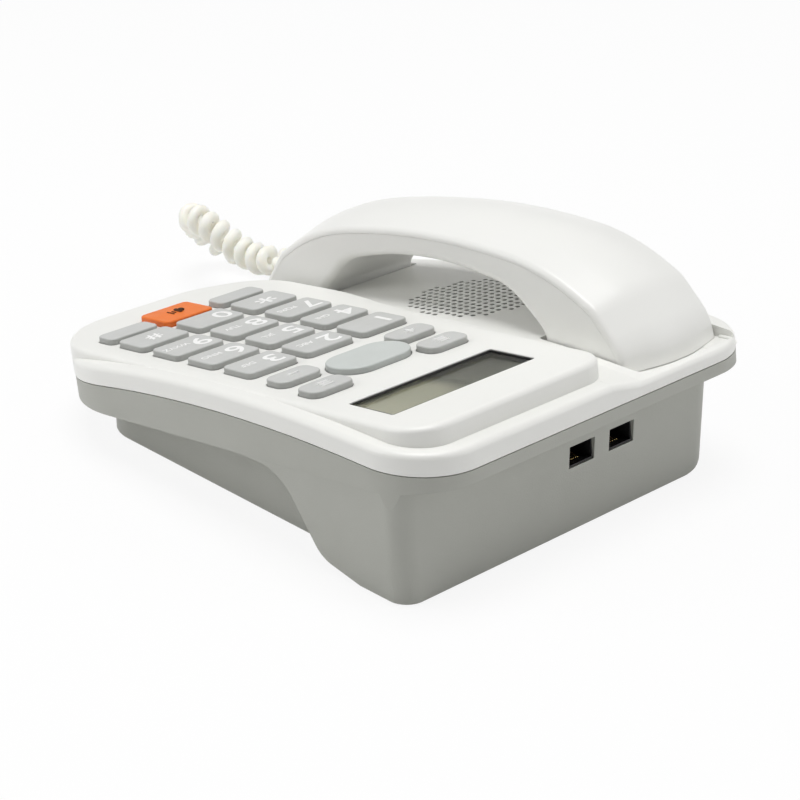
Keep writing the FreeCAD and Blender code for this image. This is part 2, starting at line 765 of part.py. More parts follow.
handset_jack = handset_jack.cut(block(handset_u, socket_rear - 8, cord_socket_w - plug_height / 2 - seat_gap,
                                      plug_width + 2 * seat_gap, 13, plug_height + 2 * seat_gap))
export("handset_jack", place(handset_jack))

# Plugs at both ends of the cord
boot_radius = 2.8
plug = block(handset_u, front_v + 7, cord_socket_w - plug_height / 2, plug_width, 12, plug_height)
handset_boot_v = front_v - boot_length
boot_end = at(handset_u, handset_boot_v, cord_socket_w)
boot = Part.makeCylinder(boot_radius, boot_length + 2, boot_end, Vector(0, 1, 0))
export("handset_plug", place(one_solid(plug.fuse(boot))))
plug = block(body_left + 5, base_socket_v, base_socket_w - plug_height / 2, 14, plug_width, plug_height)
boot_end = at(base_boot_u, base_socket_v, base_socket_w)
boot = Part.makeCylinder(boot_radius, body_left - base_boot_u, boot_end, Vector(1, 0, 0))
export("base_plug", place(one_solid(plug.fuse(boot))))

# Curly cord: a route of smooth bends over these marks, and a coil wound round it
handset_end = spot(handset_u, handset_boot_v, cord_socket_w)
base_end = spot(base_boot_u, base_socket_v, base_socket_w)
out_of_handset = spot(handset_u, handset_boot_v - 1, cord_socket_w) - handset_end
route_marks = [
    handset_end,
    handset_end + out_of_handset * 14,
    Vector(-47.5, -129, 21.0),
    Vector(-46, -140, 25.0),
    Vector(-44.5, -151, 29.0),
    Vector(-46, -163, 29.5),
    Vector(-55, -172, 21.0),
    Vector(-66, -171, 10.0),
    Vector(-71, -158, 7.2),
    Vector(-74, -142, 7.2),
    Vector(-83, -125, 7.2),
    Vector(-93, -110, 7.2),
    Vector(-102, -92, 7.2),
    Vector(-109, -71, 7.4),
    Vector(-108, -50, 10.5),
    base_end - Vector(24, 0, 1),
    base_end - Vector(12, 0, 0),
    base_end,
]
route = Part.BSplineCurve()
spans = len(route_marks) - 2
route_knots = [float(i) for i in range(spans + 1)]
route.buildFromPolesMultsKnots(route_marks, [3] + [1] * (spans - 1) + [3], route_knots, False, 2)

route_steps = 1500
route_points = []
route_lengths = [0.0]
route_sides = []
route_aheads = []
for i in range(route_steps + 1):
    knot = spans * i / route_steps
    point = route.value(knot)
    ahead = route.tangent(knot)[0]
    if i:
        route_lengths.append(route_lengths[-1] + (point - route_points[-1]).Length)
        side = route_sides[-1] - ahead * route_sides[-1].dot(ahead)
    else:
        side = Vector(1, 0, 0) - ahead * ahead.x
    side.normalize()
    route_points.append(point)
    route_aheads.append(ahead)
    route_sides.append(side)
route_length = route_lengths[-1]

# the curls open up round a bend, so that they don't meet on its inside
bend_window = 30
open_pitch = []
for i in range(route_steps + 1):
    low = max(0, i - bend_window)
    high = min(route_steps, i + bend_window)
    turned = route_aheads[low].getAngle(route_aheads[high])
    bend = turned / (route_lengths[high] - route_lengths[low])
    open_pitch.append(max(coil_pitch, (wire_diameter + coil_inner_gap) / (1 - bend * coil_radius)))
tail = 1.5 * wire_diameter
route_turns = [0.0]
for i in range(route_steps):
    low = max(0, i - bend_window)
    near = open_pitch[low:i + bend_window]
    pitch = sum(near) / len(near)
    start = min(max(route_lengths[i], tail), route_length - tail)
    end = min(max(route_lengths[i + 1], tail), route_length - tail)
    route_turns.append(route_turns[-1] + (end - start) / pitch)
turns = int(route_turns[-1] * 4) / 4
turn_scale = turns / route_turns[-1]
print("cord route %.1f mm, %.2f curls" % (route_length, turns))


def step_of(values, wanted):
    # place of a value in a rising list: the step below it and the part of the step
    low = 0
    high = len(values) - 1
    while high - low > 1:
        middle = (low + high) // 2
        if values[middle] <= wanted:
            low = middle
        else:
            high = middle
    return low, (wanted - values[low]) / (values[high] - values[low])


def on_route(low, part):
    # point, direction and side of the route
    point = route_points[low] * (1 - part) + route_points[low + 1] * part
    ahead = route_aheads[low] * (1 - part) + route_aheads[low + 1] * part
    ahead.normalize()
    side = route_sides[low] * (1 - part) + route_sides[low + 1] * part
    side = side - ahead * side.dot(ahead)
    side.normalize()
    return point, ahead, side


def ramp(part):
    # eases from 0 to 1
    part = max(0.0, min(1.0, part))
    return part * part * (3 - 2 * part)

def coil(turn):
    # centre of the wire after a number of turns
    if turn <= 0.0:
        low, part = step_of(route_lengths, tail)
    elif turn >= turns:
        low, part = step_of(route_lengths, route_length - tail)
    else:
        low, part = step_of(route_turns, turn / turn_scale)
    point, ahead, side = on_route(low, part)
    radius = coil_radius * ramp(turn / 1.25) * ramp((turns - turn) / 1.25)
    angle = 2 * math.pi * turn
    return point + side * (radius * math.cos(angle)) + ahead.cross(side) * (radius * math.sin(angle))

def coil_direction(turn):
    if turn <= 0.0:
        return route_aheads[0]
    if turn >= turns:
        return route_aheads[-1]
    step = coil(turn + 0.002) - coil(turn - 0.002)
    step.normalize()
    return step

def tangent_arc(start, ahead, end):
    # arc from start, leaving along ahead, to end
    chord = end - start
    across = ahead - chord * (ahead.dot(chord) / chord.dot(chord))
    if across.Length < 1e-5:
        return Part.makeLine(start, end)
    bend = ahead.getAngle(chord)
    across.normalize()
    middle = start + chord * 0.5 + across * (chord.Length / 2 * math.tan(bend / 2))
    return Part.Arc(start, middle, end).toShape()

def two_arcs(start, ahead, end, onward):
    # two arcs that meet smoothly between two points with given directions
    chord = end - start
    both = ahead + onward
    flat = 2 * (1 - ahead.dot(onward))
    along = chord.dot(both)
    if flat < 1e-9:
        reach = chord.dot(chord) / (2 * along)
    else:
        reach = (-along + math.sqrt(along * along + flat * chord.dot(chord))) / flat
    joint = (start + ahead * reach + end - onward * reach) * 0.5
    through = (end - onward * reach) - (start + ahead * reach)
    through.normalize()
    return [tangent_arc(start, ahead, joint), tangent_arc(joint, through, end)]

quarters = int(turns * 4 + 0.5)
cord_edges = [Part.makeLine(handset_end, coil(0))]
for i in range(quarters):
    first = i / 4
    second = (i + 1) / 4
    cord_edges.extend(two_arcs(coil(first), coil_direction(first), coil(second), coil_direction(second)))
cord_edges.append(Part.makeLine(coil(turns), base_end))
cord_path = Part.Wire(cord_edges)
samples = [coil(turns * i / (24 * quarters)) for i in range(24 * quarters + 1)]
least_gap = 1e9
for i in range(0, len(samples), 3):
    for j in range(i + 80, len(samples)):
        least_gap = min(least_gap, (samples[i] - samples[j]).Length - wire_diameter)
print("cord least gap to itself %.2f mm, wire length %.1f mm" % (least_gap, cord_path.Length))
ring = Part.Wire(Part.makeCircle(wire_diameter / 2, handset_end, out_of_handset))
cord = cord_path.makePipeShell([ring], True, False)
export("handset_cord", cord)
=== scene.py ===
import math
import bpy
from mathutils import Matrix, Vector


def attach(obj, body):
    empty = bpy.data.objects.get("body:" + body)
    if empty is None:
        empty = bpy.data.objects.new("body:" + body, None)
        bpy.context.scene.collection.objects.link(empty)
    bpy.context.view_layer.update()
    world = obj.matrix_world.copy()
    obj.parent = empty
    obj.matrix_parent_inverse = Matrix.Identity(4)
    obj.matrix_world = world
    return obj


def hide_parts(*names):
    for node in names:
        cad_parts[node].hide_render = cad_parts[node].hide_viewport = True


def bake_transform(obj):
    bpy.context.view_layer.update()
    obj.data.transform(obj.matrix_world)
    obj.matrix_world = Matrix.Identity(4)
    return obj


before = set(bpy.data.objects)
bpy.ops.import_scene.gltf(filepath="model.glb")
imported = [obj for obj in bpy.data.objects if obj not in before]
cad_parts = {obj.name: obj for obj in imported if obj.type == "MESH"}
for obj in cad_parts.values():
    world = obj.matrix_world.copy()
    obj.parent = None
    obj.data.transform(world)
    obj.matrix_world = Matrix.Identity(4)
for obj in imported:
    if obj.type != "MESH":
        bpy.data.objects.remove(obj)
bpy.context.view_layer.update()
scene = bpy.context.scene
scene.view_settings.view_transform = "Standard"
print("frame loaded:", len(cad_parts), "nodes")

# the keypad panel's frame: u to the right, v to the rear, w out of the panel, all in mm
panelSet = {"tilt": 8.7, "height": 44.3, "shift": -0.5}
panelOrigin = (0, panelSet["shift"] / 1000, panelSet["height"] / 1000)
panelTurn = Matrix.Rotation(math.radians(panelSet["tilt"]), 4, "X")
panelMatrix = Matrix.Translation(panelOrigin) @ panelTurn


def panelSpot(u, v, w):
    return panelMatrix @ Vector((u / 1000, v / 1000, w / 1000))


def panelPlace(u, v, w):  # carries a shape from the origin to a spot of the panel
    return panelMatrix @ Matrix.Translation((u / 1000, v / 1000, w / 1000))


def dropSelection():
    if bpy.context.object and bpy.context.object.mode != "OBJECT":
        bpy.ops.object.mode_set(mode="OBJECT")
    bpy.ops.object.select_all(action="DESELECT")


def pickOnly(piece):
    dropSelection()
    piece.select_set(True)
    bpy.context.view_layer.objects.active = piece


def settlePlace(piece, place=None):  # leaves the object at the origin, with its place in its mesh
    if place is not None:
        piece.matrix_world = place
    pickOnly(piece)
    bpy.ops.object.transform_apply(location=True, rotation=True, scale=True)


def joinPieces(pieces, name):
    dropSelection()
    for piece in pieces:
        piece.select_set(True)
    bpy.context.view_layer.objects.active = pieces[0]
    if len(pieces) > 1:
        bpy.ops.object.join()
    joined = bpy.context.object
    joined.name = name
    joined.data.name = name
    return joined


def dressPiece(piece, finish, body):
    piece.data.materials.clear()
    piece.data.materials.append(finish)
    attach(piece, body)


# camera at the photograph's angle
cameraSet = {"spot": (0.4634, 0.5007, 0.3286), "azimuth": 136.6, "elevation": 24.7,
             "lens": 96.3, "sensor": 36, "farthest": 20}
bpy.ops.object.camera_add(location=cameraSet["spot"])
camera = bpy.context.object
camera.rotation_euler = (math.radians(90 - cameraSet["elevation"]), 0, math.radians(cameraSet["azimuth"]))
camera.data.sensor_width = cameraSet["sensor"]
camera.data.lens = cameraSet["lens"]
camera.data.clip_end = cameraSet["farthest"]
scene.camera = camera
print("camera placed")

# materials: small builders around one principled shader
wideSpan = (0.12, 0.88)  # the part of a noise's range that a finish uses
tightSpan = (0.3, 0.7)


def newFinish(name):
    finish = bpy.data.materials.new(name)
    finish.use_nodes = True
    tree = finish.node_tree
    shader = tree.nodes["Principled BSDF"]
    place = tree.nodes.new("ShaderNodeTexCoord")
    return finish, tree, shader, place.outputs["Object"]


def noiseOf(tree, place, scale, detail=3.0, rough=0.55, stretch=None):
    if stretch:
        mapping = tree.nodes.new("ShaderNodeMapping")
        mapping.inputs["Scale"].default_value = stretch
        tree.links.new(place, mapping.inputs["Vector"])
        place = mapping.outputs["Vector"]
    noise = tree.nodes.new("ShaderNodeTexNoise")
    noise.inputs["Scale"].default_value = scale
    noise.inputs["Detail"].default_value = detail
    noise.inputs["Roughness"].default_value = rough
    tree.links.new(place, noise.inputs["Vector"])
    return noise.outputs["Fac"]


def rampOf(tree, factor, stops):
    ramp = tree.nodes.new("ShaderNodeValToRGB")
    while len(ramp.color_ramp.elements) < len(stops):
        ramp.color_ramp.elements.new(0.5)
    for element, (spot, colour) in zip(ramp.color_ramp.elements, stops):
        element.position = spot
        element.color = (*colour, 1)
    tree.links.new(factor, ramp.inputs["Fac"])
    return ramp.outputs["Color"]


def spanOf(tree, value, low, high, toLow, toHigh):
    span = tree.nodes.new("ShaderNodeMapRange")
    for key, number in zip(("From Min", "From Max", "To Min", "To Max"), (low, high, toLow, toHigh)):
        span.inputs[key].default_value = number
    tree.links.new(value, span.inputs["Value"])
    return span.outputs["Result"]


def mathOf(tree, operation, *values):
    step = tree.nodes.new("ShaderNodeMath")
    step.operation = operation
    for socket, value in zip(step.inputs, values):
        if isinstance(value, float):
            socket.default_value = value
        else:
            tree.links.new(value, socket)
    return step.outputs["Value"]


def mixOf(tree, factor, first, second):
    mix = tree.nodes.new("ShaderNodeMix")
    mix.data_type = "RGBA"
    tree.links.new(factor, mix.inputs["Factor"])
    for key, colour in (("A", first), ("B", second)):
        if isinstance(colour, tuple):
            mix.inputs[key].default_value = (*colour, 1)
        else:
            tree.links.new(colour, mix.inputs[key])
    return mix.outputs["Result"]


def axisOf(tree, place, axis):
    parts = tree.nodes.new("ShaderNodeSeparateXYZ")
    tree.links.new(place, parts.inputs["Vector"])
    return parts.outputs[axis]


def distanceOf(tree, place, spot):  # in metres, from a spot in mm
    away = tree.nodes.new("ShaderNodeVectorMath")
    away.operation = "DISTANCE"
    away.inputs[1].default_value = [mark / 1000 for mark in spot]
    tree.links.new(place, away.inputs[0])
    return away.outputs["Value"]


def panelVector(tree, place):  # the place in the keypad panel's frame, in metres
    level = tree.nodes.new("ShaderNodeMapping")
    level.vector_type = "TEXTURE"
    level.inputs["Location"].default_value = panelOrigin
    level.inputs["Rotation"].default_value = (math.radians(panelSet["tilt"]), 0, 0)
    tree.links.new(place, level.inputs["Vector"])
    return level.outputs["Vector"]


def shade(colour, share):
    return tuple(min(1.0, channel * share) for channel in colour)


def tintOf(tree, noise, colour, low, high, span=tightSpan):  # a colour that drifts with the noise
    return rampOf(tree, noise, [(span[0], shade(colour, low)), (span[1], shade(colour, high))])


def roughOf(tree, shader, noise, low, high, span=tightSpan):
    tree.links.new(spanOf(tree, noise, *span, low, high), shader.inputs["Roughness"])


def bumpOf(tree, shader, layers, strength, depth):
    heights = None
    for height, share in layers:
        if heights:
            heights = mathOf(tree, "MULTIPLY_ADD", height, share, heights)
        else:
            heights = mathOf(tree, "MULTIPLY", height, share)
    bump = tree.nodes.new("ShaderNodeBump")
    bump.inputs["Strength"].default_value = strength
    bump.inputs["Distance"].default_value = depth
    tree.links.new(heights, bump.inputs["Height"])
    tree.links.new(bump.outputs["Normal"], shader.inputs["Normal"])


# painted shade: the walls of the grille's holes are coloured dark, as if in shadow
def holeShadeOf(tree, place, tint, holeShade):  # darkens what lies below the surface in a round field of holes
    spot = panelVector(tree, place)
    away = distanceOf(tree, spot, holeShade["spot"])
    inside = spanOf(tree, away, holeShade["reach"] / 1000, (holeShade["reach"] + holeShade["edge"]) / 1000, 1.0, 0.0)
    section = tree.nodes.new("ShaderNodeVectorMath")
    section.operation = "MULTIPLY"
    section.inputs[1].default_value = (0, 1, 1)
    tree.links.new(spot, section.inputs[0])
    arch = distanceOf(tree, section.outputs["Vector"], holeShade["archSpot"])  # the surface follows an arch
    lowest, highest = (holeShade["arch"] - holeShade["deep"]) / 1000, (holeShade["arch"] - holeShade["shallow"]) / 1000
    below = spanOf(tree, arch, lowest, highest, 1.0, 0.0)
    # the painted shade's colour, where the hole field and the depth meet
    return mixOf(tree, mathOf(tree, "MULTIPLY", inside, below), tint, holeShade["colour"])


def mouldedFinish(name, look):
    # moulded plastic: soft blotches of colour, fine sparked grain, rubbed patches in the gloss
    finish, tree, shader, place = newFinish(name)
    blotch = noiseOf(tree, place, look["blotchScale"], detail=4.0)
    tint = tintOf(tree, blotch, look["colour"], 1 - look["blotch"], 1 + look["blotch"], wideSpan)
    # painted shade in the grille's holes
    if "holeShade" in look:
        tint = holeShadeOf(tree, place, tint, look["holeShade"])
    tree.links.new(tint, shader.inputs["Base Color"])
    rub = noiseOf(tree, place, look["rubScale"], detail=5.0, rough=0.6)
    roughOf(tree, shader, rub, look["rough"] - look["rubSpan"], look["rough"] + look["rubSpan"], wideSpan)
    grain = noiseOf(tree, place, look["grainScale"], detail=2.0)
    wave = noiseOf(tree, place, look["waveScale"], detail=1.0)
    bumpOf(tree, shader, [(grain, look["grain"]), (wave, look["wave"])], strength=0.5, depth=0.0004)
    shader.inputs["IOR"].default_value = 1.5
    return finish


whiteLook = {"colour": (0.862, 0.862, 0.83), "blotch": 0.012, "blotchScale": 14,
             "rough": 0.36, "rubSpan": 0.07, "rubScale": 60,
             "grain": 0.05, "grainScale": 2200, "wave": 0.03, "waveScale": 18}
handsetLook = dict(whiteLook, colour=(0.866, 0.866, 0.838), rough=0.34, grain=0.012, wave=0.02)
greyLook = {"colour": (0.432, 0.437, 0.398), "blotch": 0.03, "blotchScale": 22,
            "rough": 0.5, "rubSpan": 0.08, "rubScale": 70,
            "grain": 0.40, "grainScale": 2200, "wave": 0.05, "waveScale": 16}
hookLook = dict(whiteLook, rough=0.3)
plugLook = {"colour": (0.80, 0.79, 0.70), "blotch": 0.02, "blotchScale": 120,
            "rough": 0.3, "rubSpan": 0.06, "rubScale": 300,
            "grain": 0.1, "grainScale": 3000, "wave": 0.1, "waveScale": 120}
innerLook = {"colour": (0.012, 0.012, 0.013), "blotch": 0.2, "blotchScale": 200,
             "rough": 0.45, "rubSpan": 0.1, "rubScale": 300,
             "grain": 0.3, "grainScale": 2500, "wave": 0.1, "waveScale": 100}
footLook = dict(innerLook, colour=(0.02, 0.02, 0.02), rough=0.75)
matLook = dict(plugLook, colour=(0.55, 0.55, 0.53), rough=0.7)

# painted shade in the depth of the grille's holes, in the panel's frame
grilleHoleShade = {"spot": (-43.4, 3.0, -2.2), "reach": 24.5, "edge": 0.3, "arch": 664.4,
              "archSpot": (0, -1.5, -666.6), "deep": 0.6, "shallow": 0.1, "colour": (0.16, 0.155, 0.14)}
caseWhite = mouldedFinish("caseWhite", dict(whiteLook, holeShade=grilleHoleShade))
handsetWhite = mouldedFinish("handsetWhite", handsetLook)
caseGrey = mouldedFinish("caseGrey", greyLook)
hookWhite = mouldedFinish("hookWhite", hookLook)
plugCream = mouldedFinish("plugCream", plugLook)
innerBlack = mouldedFinish("innerBlack", innerLook)
footBlack = mouldedFinish("footBlack", footLook)
matSilicone = mouldedFinish("matSilicone", matLook)


def keyFinish(name, look):
    # key caps: a lighter top and a darker skirt, told apart by the height above the panel, with rubbed
    # patches in the gloss
    finish, tree, shader, place = newFinish(name)
    height = axisOf(tree, panelVector(tree, place), "Z")
    top = spanOf(tree, height, look["skirtHigh"] / 1000, look["topLow"] / 1000, 0.0, 1.0)
    blotch = noiseOf(tree, place, look["blotchScale"], detail=4.0)
    side = tintOf(tree, blotch, look["skirt"], 1 - look["skirtBlotch"], 1 + look["skirtBlotch"])
    face = tintOf(tree, blotch, look["top"], 1 - look["topBlotch"], 1 + look["topBlotch"])
    tree.links.new(mixOf(tree, top, side, face), shader.inputs["Base Color"])
    rub = noiseOf(tree, place, look["rubScale"], detail=5.0, rough=0.6)
    roughOf(tree, shader, rub, look["rough"] - look["rubSpan"], look["rough"] + look["rubSpan"])
    grain = noiseOf(tree, place, look["grainScale"], detail=2.0)
    bumpOf(tree, shader, [(grain, look["grain"])], strength=0.5, depth=0.0003)
    shader.inputs["Specular IOR Level"].default_value = look["gloss"]
    return finish


keyLook = {"skirtHigh": 1.7, "topLow": 2.15, "skirtBlotch": 0.03, "topBlotch": 0.025, "blotchScale": 90,
           "rough": 0.40, "rubSpan": 0.08, "rubScale": 160, "gloss": 0.45,
           "grain": 0.25, "grainScale": 3200}
greyKey = dict(keyLook, top=(0.575, 0.58, 0.565), skirt=(0.42, 0.425, 0.41), rough=0.42)
ovalKey = dict(keyLook, top=(0.58, 0.61, 0.59), skirt=(0.45, 0.47, 0.455))
orangeKey = dict(keyLook, top=(0.86, 0.20, 0.028), skirt=(0.80, 0.16, 0.02))
keyGrey = keyFinish("keyGrey", greyKey)
keyOval = keyFinish("keyOval", ovalKey)
keyOrange = keyFinish("keyOrange", orangeKey)


def metalFinish(name, look):
    # brushed metal, drawn out along the height
    finish, tree, shader, place = newFinish(name)
    brush = noiseOf(tree, place, look["brushScale"], detail=4.0, rough=0.6, stretch=look["stretch"])
    tint = tintOf(tree, brush, look["colour"], look["dark"], look["light"])
    tree.links.new(tint, shader.inputs["Base Color"])
    roughOf(tree, shader, brush, look["rough"] - look["rubSpan"], look["rough"] + look["rubSpan"])
    bumpOf(tree, shader, [(brush, look["brush"])], strength=0.4, depth=0.0001)
    shader.inputs["Metallic"].default_value = 1.0
    return finish


metalLook = {"stretch": (1, 1, 14), "brush": 0.3, "dark": 0.85, "light": 1.1, "rubSpan": 0.08}
screwLook = dict(metalLook, colour=(0.60, 0.60, 0.61), rough=0.34, brushScale=700)
weightLook = dict(metalLook, colour=(0.32, 0.32, 0.33), rough=0.5, brushScale=200)
goldLook = dict(metalLook, colour=(0.83, 0.61, 0.25), rough=0.25, brushScale=900)
screwSteel = metalFinish("screwSteel", screwLook)
weightSteel = metalFinish("weightSteel", weightLook)
contactGold = metalFinish("contactGold", goldLook)

boardLook = {"first": (0.018, 0.11, 0.045), "second": (0.015, 0.09, 0.038), "tracks": (0.04, 0.20, 0.08),
             "trackScale": 220, "trackWidth": 0.03, "sheenScale": 300, "rough": (0.25, 0.4)}


def boardFinish(name, look):
    finish, tree, shader, place = newFinish(name)
    tracks = tree.nodes.new("ShaderNodeTexBrick")
    tracks.inputs["Scale"].default_value = look["trackScale"]
    tracks.inputs["Mortar Size"].default_value = look["trackWidth"]
    for key, part in (("Color1", "first"), ("Color2", "second"), ("Mortar", "tracks")):
        tracks.inputs[key].default_value = (*look[part], 1)
    tree.links.new(place, tracks.inputs["Vector"])
    tree.links.new(tracks.outputs["Color"], shader.inputs["Base Color"])
    roughOf(tree, shader, noiseOf(tree, place, look["sheenScale"]), *look["rough"])
    bumpOf(tree, shader, [(tracks.outputs["Fac"], 0.3)], strength=0.4, depth=0.0001)
    return finish


# the display's tones from left to right, between two places in mm: a painted reflection, light on one side
# and dark towards the handset
displayLook = {"left": 8, "right": 75, "drift": 6, "driftScale": 30, "grainScale": 4000,
               "rough": (0.32, 0.42), "gloss": 0.2,
               "tones": [(0.0, (0.016, 0.016, 0.006)), (0.36, (0.030, 0.029, 0.014)),
                         (0.45, (0.19, 0.186, 0.125)), (1.0, (0.265, 0.258, 0.182))]}


def displayFinish(name, look):
    # reflective display glass: olive, with a painted reflection that is light on one side and deepens
    # towards the handset, and a fine polariser grain
    finish, tree, shader, place = newFinish(name)
    drift = noiseOf(tree, place, look["driftScale"], detail=2.0)
    reflectionAcross = mathOf(tree, "MULTIPLY_ADD", drift, look["drift"] / 1000, axisOf(tree, place, "X"))
    share = spanOf(tree, reflectionAcross, look["left"] / 1000, look["right"] / 1000, 0.0, 1.0)
    # painted reflection: the tones run from dark to light across the glass
    tree.links.new(rampOf(tree, share, look["tones"]), shader.inputs["Base Color"])
    grain = noiseOf(tree, place, look["grainScale"], detail=2.0)
    roughOf(tree, shader, grain, *look["rough"])
    bumpOf(tree, shader, [(grain, 0.1)], strength=0.3, depth=0.0001)
    shader.inputs["Specular IOR Level"].default_value = look["gloss"]
    return finish


lensLook = {"smearScale": 70, "rough": (0.02, 0.09), "smearSpan": (0.35, 0.75), "bend": 1.15, "gloss": 0.3,
            "tones": [(0.3, (0.94, 0.95, 0.93)), (0.7, (0.98, 0.985, 0.97))]}


def lensFinish(name, look):
    # clear window with wiped smears
    finish, tree, shader, place = newFinish(name)
    smear = noiseOf(tree, place, look["smearScale"], detail=4.0, rough=0.6, stretch=(1, 3, 1))
    roughOf(tree, shader, smear, *look["rough"], look["smearSpan"])
    tree.links.new(rampOf(tree, smear, look["tones"]), shader.inputs["Base Color"])
    shader.inputs["Transmission Weight"].default_value = 1.0
    shader.inputs["IOR"].default_value = look["bend"]
    shader.inputs["Specular IOR Level"].default_value = look["gloss"]
    return finish


cordLook = {"blotchScale": 110, "tones": [(0.3, (0.93, 0.915, 0.835)), (0.7, (0.965, 0.95, 0.88))],
            "rubScale": 260, "rough": (0.34, 0.48), "grainScale": 2400, "glow": 0.4,
            "glowReach": (0.003, 0.0026, 0.002)}


def cordFinish(name, look):
    # soft jacket: creamy blotches, rubbed patches and a little light passing through
    finish, tree, shader, place = newFinish(name)
    blotch = noiseOf(tree, place, look["blotchScale"], detail=4.0)
    tree.links.new(rampOf(tree, blotch, look["tones"]), shader.inputs["Base Color"])
    roughOf(tree, shader, noiseOf(tree, place, look["rubScale"], detail=5.0, rough=0.6), *look["rough"])
    grain = noiseOf(tree, place, look["grainScale"], detail=2.0)
    bumpOf(tree, shader, [(grain, 0.2)], strength=0.4, depth=0.0003)
    shader.inputs["Subsurface Weight"].default_value = look["glow"]
    shader.inputs["Subsurface Radius"].default_value = look["glowReach"]
    shader.inputs["Subsurface Scale"].default_value = 1.0
    return finish


inkLook = {"wornScale": 900, "wornShare": 0.9, "wornSpan": (0.25, 0.6), "rough": (0.4, 0.55)}


def inkFinish(name, colour, look):
    # pad-printed ink, a little worn at places; also a black film of painted shade round the display window
    finish, tree, shader, place = newFinish(name)
    worn = noiseOf(tree, place, look["wornScale"], detail=4.0, rough=0.65)
    tint = tintOf(tree, worn, colour, look["wornShare"], 1.0, look["wornSpan"])
    tree.links.new(tint, shader.inputs["Base Color"])
    roughOf(tree, shader, worn, *look["rough"])
    return finish


boardGreen = boardFinish("boardGreen", boardLook)
displayOlive = displayFinish("displayOlive", displayLook)
lensClear = lensFinish("lensClear", lensLook)
cordCream = cordFinish("cordCream", cordLook)
inkWhite = inkFinish("inkWhite", (0.93, 0.93, 0.92), inkLook)
inkDark = inkFinish("inkDark", (0.10, 0.045, 0.02), inkLook)
# a black film that paints the shade of the display window's recess
windowShadeBlack = inkFinish("windowShadeBlack", (0.02, 0.02, 0.018), inkLook)
print("materials made")

# finishes of the carried-over nodes
nodeFinish = {
    "upper_housing": caseWhite, "lower_housing": caseGrey, "rubber_feet": footBlack,
    "handset_cover": handsetWhite, "handset_shell": handsetWhite, "hook_plunger": hookWhite,
    "key_orange": keyOrange, "key_oval": keyOval, "key_mat": matSilicone,
    "housing_screws": screwSteel, "board_screws": screwSteel, "handset_screws": screwSteel,
    "ballast_plate": weightSteel, "handset_weight": weightSteel,
    "keypad_board": boardGreen, "main_board": boardGreen,
    "display_lens": lensClear, "display_module": displayOlive,
    "handset_plug": plugCream, "base_plug": plugCream, "handset_cord": cordCream,
}
for nodeName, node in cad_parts.items():
    finish = nodeFinish.get(nodeName)
    if finish is None:
        finish = keyGrey if nodeName.startswith("key_") else innerBlack
    if not node.material_slots:
        node.data.materials.append(finish)
    for slot in node.material_slots:
        slot.material = finish
print("finishes on nodes")

# curly cord: the route's marks in mm, the same as the solid's
cordSet = {"wire": 4.4, "coilRadius": 4.1, "pitch": 6.8, "innerGap": 1.2, "tail": 6.6, "lead": 14,
           "perTurn": 14, "turnParts": 4, "easeTurns": 1.25, "spread": 1.02, "bendShare": 0.02,
           "handsetBoot": (-48, -104.3, -5.5), "baseBoot": (-78.5, -40, -23.4),
           "baseLeads": ((24, 0, 1), (12, 0, 0))}
handsetEnd = panelSpot(*cordSet["handsetBoot"])
baseEnd = panelSpot(*cordSet["baseBoot"])
outOfHandset = panelTurn.to_3x3() @ Vector((0, -1, 0))
routeMarks = [handsetEnd, handsetEnd + outOfHandset * cordSet["lead"] / 1000]
for mark in ((-47.5, -129, 21), (-46, -140, 25), (-44.5, -151, 29), (-46, -163, 29.5), (-55, -172, 21),
             (-66, -171, 10), (-71, -158, 7.2), (-74, -142, 7.2), (-83, -125, 7.2), (-93, -110, 7.2),
             (-102, -92, 7.2), (-109, -71, 7.4), (-108, -50, 10.5)):
    routeMarks.append(Vector(mark) / 1000)
for lead in cordSet["baseLeads"]:
    routeMarks.append(baseEnd - Vector(lead) / 1000)
routeMarks.append(baseEnd)


def splineCurve(name, points, resolution):
    curve = bpy.data.curves.new(name, "CURVE")
    curve.dimensions = "3D"
    curve.resolution_u = resolution
    spline = curve.splines.new("NURBS")
    spline.points.add(len(points) - 1)
    for knot, point in zip(spline.points, points):
        knot.co = (*point, 1)
    spline.order_u = 3
    spline.use_endpoint_u = True
    piece = bpy.data.objects.new(name, curve)
    scene.collection.objects.link(piece)
    return piece


def curvePoints(piece):  # the points that Blender itself gives for a curve with no bevel
    bpy.context.view_layer.update()
    line = bpy.data.meshes.new_from_object(piece.evaluated_get(bpy.context.evaluated_depsgraph_get()))
    points = [vertex.co.copy() for vertex in line.vertices]
    bpy.data.meshes.remove(line)
    return points


def roundTube(piece, radius, rounds):  # thickens a curve and turns it into a mesh
    piece.data.bevel_depth = radius
    piece.data.bevel_resolution = rounds
    piece.data.use_fill_caps = True
    pickOnly(piece)
    bpy.ops.object.convert(target="MESH")
    bpy.ops.object.shade_smooth()
    return bpy.context.object


def easeIn(part):
    part = max(0.0, min(1.0, part))
    return part * part * (3 - 2 * part)


